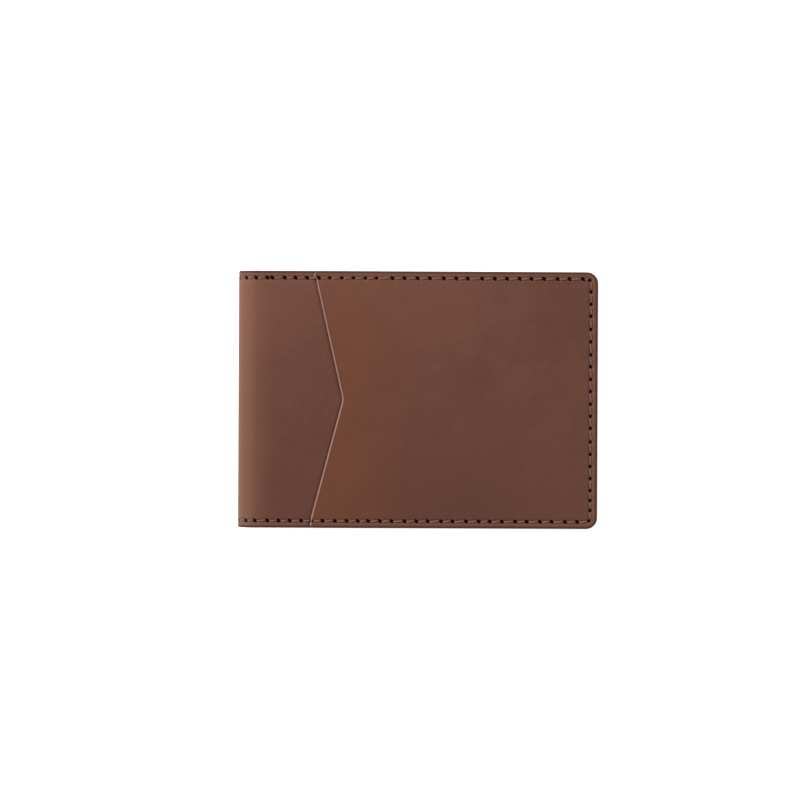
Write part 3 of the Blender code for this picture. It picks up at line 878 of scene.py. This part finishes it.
def build_clip():
    """The clip's base with its two ears, the bend, the leaf and its flared lip."""
    path = clip_path()
    along = np.concatenate([[0], np.cumsum(np.linalg.norm(np.diff(path, axis=0), axis=1))])
    ahead = unit(np.gradient(path, along, axis=0))

    def lay(u, v, z):
        """u is the distance along the path, and z the distance off it."""
        lines = (path[:, 0], path[:, 1], -ahead[:, 1], ahead[:, 0])
        x, height, normal_x, normal_z = (np.interp(u, along, line) for line in lines)
        return np.stack([x + normal_x * z, v, height + normal_z * z], axis=1)

    length = along[-1]
    ear_end = along[1] - 0.35
    base_half, leaf_half = BASE_HIGH.y, LEAF_HIGH.y
    corners = [(0, base_half), (ear_end, base_half), (ear_end, leaf_half), (length, leaf_half)]
    corners += [(u, -v) for u, v in reversed(corners)]
    border = soft_outline(corners, [1.2, 1.6, 0.4, 4.2, 4.2, 0.4, 1.6, 1.2], 0.5)

    faces = flat_at(STRIP_T / 2), flat_at(-STRIP_T / 2)
    panel = Panel("money_clip", border, *faces, lay, edge_scale=0.3)
    lattice = grid(0.3, length, -base_half, base_half, 0.4, 2.5)
    return panel.build(lattice, lattice, {})


def build_rivet(side):
    """A low domed rivet head with a rolled rim, standing on the clip's ear."""
    low, high = box_mm(f"clip_rivet_{side}")
    middle = (low + high) / 2
    radius = (high.x - low.x) / 2
    shank_r = 0.9
    head, rim = 0.7, 0.1
    base = high.z - head
    profile = []
    for i in range(1, 13):
        turn = math.pi / 2 * i / 12
        profile.append((radius * math.sin(turn), base + rim + (head - rim) * math.cos(turn) ** 0.9))
    profile += [(radius - 0.03, base + 0.02), (radius - 0.3, base), (shank_r, base), (shank_r, low.z)]
    sides = 40
    turns = [math.tau * k / sides for k in range(sides)]
    where = [(middle.x, middle.y, high.z)]
    where += [(middle.x + r * math.cos(t), middle.y + r * math.sin(t), z) for r, z in profile for t in turns]
    faces = [[0, 1 + k, 1 + (k + 1) % sides] for k in range(sides)]
    starts = range(1, len(where), sides)
    faces += band_faces(starts, sides)
    faces.append([starts[-1] + k for k in range(sides)])
    return make_piece(f"rivet_{side}", np.array(where), faces)


# Materials


class Look:
    """A material's node tree, with short calls to add to it."""

    def __init__(self, name):
        self.material = bpy.data.materials.new(name)
        self.material.use_nodes = True
        self.tree = self.material.node_tree
        self.shader = self.tree.nodes["Principled BSDF"]

    def put(self, socket, value):
        if isinstance(value, bpy.types.NodeSocket):
            self.tree.links.new(value, socket)
        else:
            socket.default_value = value

    def node(self, kind, output, inputs, **settings):
        """Adds a node and gives back one of its outputs. inputs are values or other nodes' outputs."""
        made = self.tree.nodes.new(kind)
        for key, value in settings.items():
            setattr(made, key, value)
        for key, value in inputs.items():
            self.put(made.inputs[key], value)
        return made.outputs[output]

    def surface(self, **inputs):
        """Sets the shader's inputs, with their names written with underscores."""
        for name, value in inputs.items():
            self.put(self.shader.inputs[name.replace("_", " ")], value)

    def attribute(self, name, output="Fac"):
        return self.node("ShaderNodeAttribute", output, {}, attribute_name=name)

    def noise(self, where, scale, detail=3.0, rough=0.5):
        inputs = {"Vector": where, "Scale": scale, "Detail": detail, "Roughness": rough}
        return self.node("ShaderNodeTexNoise", "Fac", inputs)

    def span(self, value, low, high, to_low=0.0, to_high=1.0):
        inputs = {"Value": value, "From Min": low, "From Max": high, "To Min": to_low, "To Max": to_high}
        return self.node("ShaderNodeMapRange", "Result", inputs, interpolation_type="SMOOTHSTEP")

    def plus(self, a, b):
        return self.node("ShaderNodeMath", "Value", {0: a, 1: b}, operation="ADD")

    def minus(self, a, b):
        return self.node("ShaderNodeMath", "Value", {0: a, 1: b}, operation="SUBTRACT")

    def times(self, a, b):
        return self.node("ShaderNodeMath", "Value", {0: a, 1: b}, operation="MULTIPLY")

    def blend(self, share, a, b):
        """A mix of two colours. The node's colour sockets go by number, for it has others of that name."""
        a, b = ((*value, 1.0) if isinstance(value, tuple) else value for value in (a, b))
        return self.node("ShaderNodeMix", 2, {0: share, 6: a, 7: b}, data_type="RGBA")

    def bump(self, height, distance_mm, strength, **base):
        inputs = {"Height": height, "Distance": distance_mm * MM, "Strength": strength, **base}
        return self.node("ShaderNodeBump", "Normal", inputs)


def linear(red, green, blue):
    """A colour given as 0 to 255 display values, as the linear values that nodes use."""
    shares = (red / 255, green / 255, blue / 255)
    return tuple(c / 12.92 if c < 0.0404 else ((c + 0.055) / 1.055) ** 2.4 for c in shares)


# Colours as (leather, its light tone, its dark tone), and single ones
SHELL_TONES = (linear(101, 61, 47), linear(118, 75, 58), linear(84, 48, 37))
INTERIOR_TONES = (linear(95, 57, 43), linear(110, 69, 53), linear(78, 45, 34))
LINING_TONES = (linear(88, 53, 41), linear(102, 64, 50), linear(72, 42, 33))
# Lighter leather for the fold and the needle-hole rims: partly wear and pull-up, partly a painted highlight.
LEATHER_WORN_AND_HIGHLIGHT = linear(126, 85, 66)
LEATHER_ORANGE = linear(112, 63, 37)
EDGE_PAINT = linear(72, 37, 28)
EDGE_PAINT_LIGHT = linear(88, 50, 38)
EDGE_BARE = linear(174, 133, 121)
EDGE_BARE_DARK = linear(150, 106, 93)
# Near-black painted shade: in the needle holes (with their dark wax), in the painted shadow beside the
# pocket's mouth, and on thread down a hole.
PAINTED_SHADE_DARK = linear(24, 5, 3)
THREAD_BROWN = linear(109, 71, 66)
THREAD_DARK = linear(100, 63, 59)
THREAD_LIGHT = linear(156, 112, 105)


def outside_tone_and_painted_light(look, colour, where, mottle, pocket):
    """The photo's slow changes of tone, much of it painted light: painted shade darker downwards and to the
    right, painted light at the top, the fold worn and with a painted highlight, and on the pocket orange
    beside its mouth."""
    _, light, dark = SHELL_TONES
    x, y = (look.node("ShaderNodeSeparateXYZ", axis, {"Vector": where}) for axis in "XY")
    # Painted shade: darker downwards and to the right, where the light falls off.
    left = look.span(x, 58.0, 15.0)
    down = look.times(look.times(look.span(y, 25.0, -45.0), 0.7 if pocket else 0.4), left)
    down = look.plus(down, look.times(look.minus(1.0, left), 0.3))
    colour = look.blend(down, colour, dark)
    # Painted light: lighter towards the top left, nearer the lamp.
    up = look.span(look.minus(y, look.times(x, 0.3)), 18.0, 56.0)
    colour = look.blend(look.times(up, 0.6), colour, light)
    if pocket:
        warm = look.times(look.span(x, 8.0, -26.0), look.span(y, 42.0, 20.0, 0.3, 1.0))
        colour = look.blend(look.times(warm, 0.55), colour, LEATHER_ORANGE)
    # The fold lightened: partly worn, pulled-up leather, partly a painted highlight where the bend faces the
    # lamp.
    fold = look.span(look.plus(x, look.times(mottle, 1.6)), -42.0, -53.5)
    return look.blend(look.times(fold, 0.66), colour, LEATHER_WORN_AND_HIGHLIGHT)


def seam_tone_and_painted_light(look, colour, inset, light, needle):
    """A lighter margin along the edges but the mouth, rims worn and with a painted highlight, a painted
    shadow before the mouth, and needle holes painted dark with shade and wax.
    """
    margin = look.times(look.span(inset, 0.5, 0.9), look.span(inset, 2.6, 1.7))
    margin = look.times(margin, look.minus(1.0, look.attribute("mouth")))
    colour = look.blend(look.times(margin, 0.5), colour, light)
    # Needle-hole rims lightened: partly rubbed leather, partly a painted highlight.
    colour = look.blend(look.times(look.attribute("rim"), 0.35), colour, LEATHER_WORN_AND_HIGHLIGHT)
    # Painted shadow on the cover beside the pocket's mouth.
    colour = look.blend(look.times(look.attribute("painted_mouth_shadow"), 0.5), colour, PAINTED_SHADE_DARK)
    # Needle holes painted near-black: painted shade in the hole, with some dark wax.
    return look.blend(look.times(needle, 0.97), colour, PAINTED_SHADE_DARK)


def edge_tone(look, colour, where, inset, mottle, grain):
    """Paint on the edges, with a ragged border, and bare fibres where the leather is only cut."""
    bare = look.attribute("bare_edge")
    ragged = look.plus(inset, look.times(grain, 0.12))
    paint = look.times(look.span(ragged, 0.9, 0.6), look.minus(1.0, bare))
    colour = look.blend(paint, colour, look.blend(mottle, EDGE_PAINT, EDGE_PAINT_LIGHT))
    return look.blend(bare, colour, look.blend(look.noise(where, 3.0, 4.0, 0.7), EDGE_BARE, EDGE_BARE_DARK))


def leather_look(name, tones, outside=False, pocket=False):
    """Waxed pull-up leather: cloudy colour and fine grain, with its edges and seams."""
    look = Look(name)
    body, light, dark = tones
    where = look.attribute("rest_mm", "Vector")
    inset = look.attribute("inset_mm")
    needle = look.attribute("needle")
    clouds = look.noise(where, 0.035, 3.0, 0.6)
    mottle = look.noise(where, 0.22, 4.0, 0.6)
    grain = look.noise(where, 1.5, 3.0, 0.65)
    cells = {"Vector": where, "Scale": 1.15, "Smoothness": 0.6}
    pores = look.node("ShaderNodeTexVoronoi", "Distance", cells, feature="SMOOTH_F1")
    tone = look.plus(look.times(clouds, 0.45), look.times(mottle, 0.3))
    tone = look.plus(tone, look.times(grain, 0.25))
    colour = look.blend(0.7, look.blend(look.span(tone, 0.36, 0.64), dark, light), body)
    if outside:
        colour = outside_tone_and_painted_light(look, colour, where, mottle, pocket)
    colour = seam_tone_and_painted_light(look, colour, inset, light, needle)
    colour = edge_tone(look, colour, where, inset, mottle, grain)
    rough = look.plus(look.plus(look.times(mottle, 0.16), look.times(grain, 0.10)), 0.5)
    soft = look.bump(look.plus(mottle, look.times(clouds, 1.5)), 0.25, 0.5)
    fine = look.bump(look.plus(look.times(pores, 0.6), grain), 0.09, 0.7, Normal=soft)
    shine = look.span(needle, 0.2, 0.9, 0.24, 0.03)
    look.surface(Base_Color=colour, Roughness=rough, Specular_IOR_Level=shine, Normal=fine)
    return look.material


def thread_look():
    """Waxed brown thread: fine fibres along the ply, and painted shade where it goes into a hole."""
    look = Look("thread")
    where = look.attribute("rest_mm", "Vector")
    fibres = look.noise(where, 6.0, 4.0, 0.7)
    spots = look.noise(where, 0.6, 2.0)
    colour = look.blend(look.span(fibres, 0.3, 0.7), THREAD_DARK, THREAD_LIGHT)
    colour = look.blend(look.times(spots, 0.5), colour, THREAD_BROWN)
    # Thread inside a needle hole darkened with painted shade.
    colour = look.blend(look.span(look.attribute("sunk"), 0.2, 0.6), colour, PAINTED_SHADE_DARK)
    rough = look.span(fibres, 0.2, 0.8, 0.5, 0.72)
    fuzz = look.bump(fibres, 0.05, 0.8)
    look.surface(Base_Color=colour, Roughness=rough, Specular_IOR_Level=0.35, Normal=fuzz)
    return look.material


def metal_look(name, tint, rough_low, rough_high, stretch, scale):
    """Brushed spring steel or polished nickel: fine scratches in one direction, a few dull patches."""
    look = Look(name)
    where = look.attribute("rest_mm", "Vector")
    stretched = look.node("ShaderNodeMapping", "Vector", {"Vector": where, "Scale": stretch})
    brush = look.noise(stretched, scale, 4.0, 0.7)
    patches = look.noise(where, 0.15, 3.0, 0.6)
    darker = tuple(c * 0.8 for c in tint)
    wear = look.plus(look.times(brush, 0.8), look.times(patches, 0.2))
    colour = look.blend(look.span(wear, 0.35, 0.7), darker, tint)
    rough = look.span(wear, 0.3, 0.7, rough_low, rough_high)
    scratches = look.bump(brush, 0.012, 0.5)
    look.surface(Base_Color=colour, Roughness=rough, Metallic=1.0, Normal=scratches)
    return look.material


def dress(obj, material, slot_name, *nodes):
    """Gives a piece its material and hides the CAD nodes it stands for. slot_name is not used."""
    obj.data.materials.append(material)
    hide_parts(*nodes)


# Where each piece goes: on a half's body, or baked in place


def bend_with(obj, half):
    """Bakes the placing of a sheet or seam of one half into its mesh, the same for either half."""
    if half == "back":
        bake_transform(obj)
    else:
        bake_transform(obj)


def make_sheets():
    """Shell, linings, quick pocket and card slots."""
    shell = leather_look("shell_leather", SHELL_TONES, outside=True)
    pocket = leather_look("pocket_leather", SHELL_TONES, outside=True, pocket=True)
    interior = leather_look("interior_leather", INTERIOR_TONES)
    lining_look = leather_look("lining_leather", LINING_TONES)
    for half in ("back", "front"):
        cover = build_shell(half)
        dress(cover, shell, "shell_leather", f"{half}_cover", "spine_shell")
        bend_with(cover, half)
        lining = build_lining(half)
        dress(lining, lining_look, "lining_leather", f"{half}_lining", "spine_lining")
        bend_with(lining, half)
        for level, slot_name in enumerate(SLOT_NAMES):
            panel = build_slot(half, level)
            dress(panel, interior, "interior_leather", f"{half}_slot_{slot_name}")
            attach(panel, half)
    quick = build_pocket()
    dress(quick, pocket, "pocket_leather", "front_quick_pocket")
    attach(quick, "front")


def back_level(u, v):
    """z of the outer thread's bed on the back: deeper on the flat, so that the thread clears the table."""
    return mix(0.38, 0.02, smooth(u, BEND_X, BEND_X - 3.0))


def front_level(u, v):
    """z of the front's outside face along the edge seam. The thread climbs the quick pocket at its mouth."""
    return -POCKET_T * smooth(u - mouth_x(v), -1.2, -0.25) + 0.02


def inner_level(u, v):
    """z of the inside face along a seam, on the lining or on the card slots."""
    return stack_top(u, v, len(SLOT_NAMES))


def make_threads():
    """Each half's edge seam, outside and inside, and its card slots' seam."""
    look = thread_look()
    for half, outer_level in (("back", back_level), ("front", front_level)):
        faces = (("outer", outer_level, 1, THREAD_R), ("inner", inner_level, -1, LINING_TOP))
        for face, level, out, z in faces:
            ends = [f"spine_thread_{face}_{side}" for side in ("top", "bottom")]
            stitches = Thread(f"stitches_{face}_{half}", EDGE_SEAM, level, out, LAY[half]).build(True)
            dress(stitches, look, "thread", f"{half}_thread_{face}", *ends)
            bend_with(stitches, half)
        stitches = Thread(f"stitches_slots_{half}", SLOT_SEAM, inner_level, -1, LAY[half]).build(False)
        dress(stitches, look, "thread", f"{half}_slot_thread")
        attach(stitches, half)


def make_clip():
    """The money clip; its rivets stay on the back half."""
    steel = metal_look("clip_steel", (0.42, 0.415, 0.41), 0.52, 0.68, (1.0, 0.05, 1.0), 7.0)
    nickel = metal_look("rivet_nickel", (0.56, 0.54, 0.50), 0.2, 0.34, (1.0, 1.0, 1.0), 5.0)
    clip = build_clip()
    dress(clip, steel, "clip_steel", "clip_base", "clip_leaf")
    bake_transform(clip)
    for side in ("top", "bottom"):
        rivet = build_rivet(side)
        dress(rivet, nickel, "rivet_nickel", f"clip_rivet_{side}")
        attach(rivet, "back")


# The studio


def make_floor():
    """A table that shows as plain white, with a faint contact shadow."""
    shape = bmesh.new()
    bmesh.ops.create_grid(shape, x_segments=4, y_segments=4, size=3.0)
    mesh = bpy.data.meshes.new("table_top")
    shape.to_mesh(mesh)
    shape.free()
    look = Look("table_white")
    look.surface(Base_Color=(0.8, 0.8, 0.8, 1.0), Roughness=0.9, Specular_IOR_Level=0.0)
    look.surface(Emission_Color=(1.0, 1.0, 1.0, 1.0), Emission_Strength=0.75)
    mesh.materials.append(look.material)
    floor = add_object("table_top", mesh)


def make_light():
    """A bright even studio, white to the camera, with a large soft lamp over the upper left."""
    world = bpy.data.worlds.new("studio")
    bpy.context.scene.world = world
    world.use_nodes = True
    tree = world.node_tree
    room = tree.nodes["Background"]
    backdrop = tree.nodes.new("ShaderNodeBackground")
    for background, strength in ((room, 0.6), (backdrop, 1.0)):
        background.inputs["Color"].default_value = (1.0, 1.0, 1.0, 1.0)
        background.inputs["Strength"].default_value = strength
    path = tree.nodes.new("ShaderNodeLightPath")
    choice = tree.nodes.new("ShaderNodeMixShader")
    for number, output in enumerate((path.outputs["Is Camera Ray"], room.outputs[0], backdrop.outputs[0])):
        tree.links.new(output, choice.inputs[number])
    tree.links.new(choice.outputs[0], tree.nodes["World Output"].inputs["Surface"])
    lamp = bpy.data.lights.new("key", "AREA")
    lamp.shape = "DISK"
    lamp.size = 0.9
    lamp.energy = 22.0
    key = add_object("key", lamp)
    key.location = (-1.0, 0.85, 1.15)
    key.rotation_euler = (-key.location).to_track_quat("-Z", "Y").to_euler()


def make_camera():
    """Straight down from two metres, with the wallet turned a quarter of a degree clockwise."""
    width = 244.6 * MM
    height = 2.0
    camera = bpy.data.cameras.new("overhead")
    camera.sensor_width = 36.0
    camera.lens = camera.sensor_width * height / width
    camera.clip_end = 10.0
    obj = add_object("overhead", camera)
    obj.location = (-5.47 * MM, -0.07 * MM, height + SHELL_H * MM)
    obj.rotation_euler = (0.0, 0.0, math.radians(0.27))
    bpy.context.scene.camera = obj
    bpy.context.scene.view_settings.view_transform = "Standard"


make_sheets()
make_threads()
make_clip()
make_floor()
make_light()
make_camera()
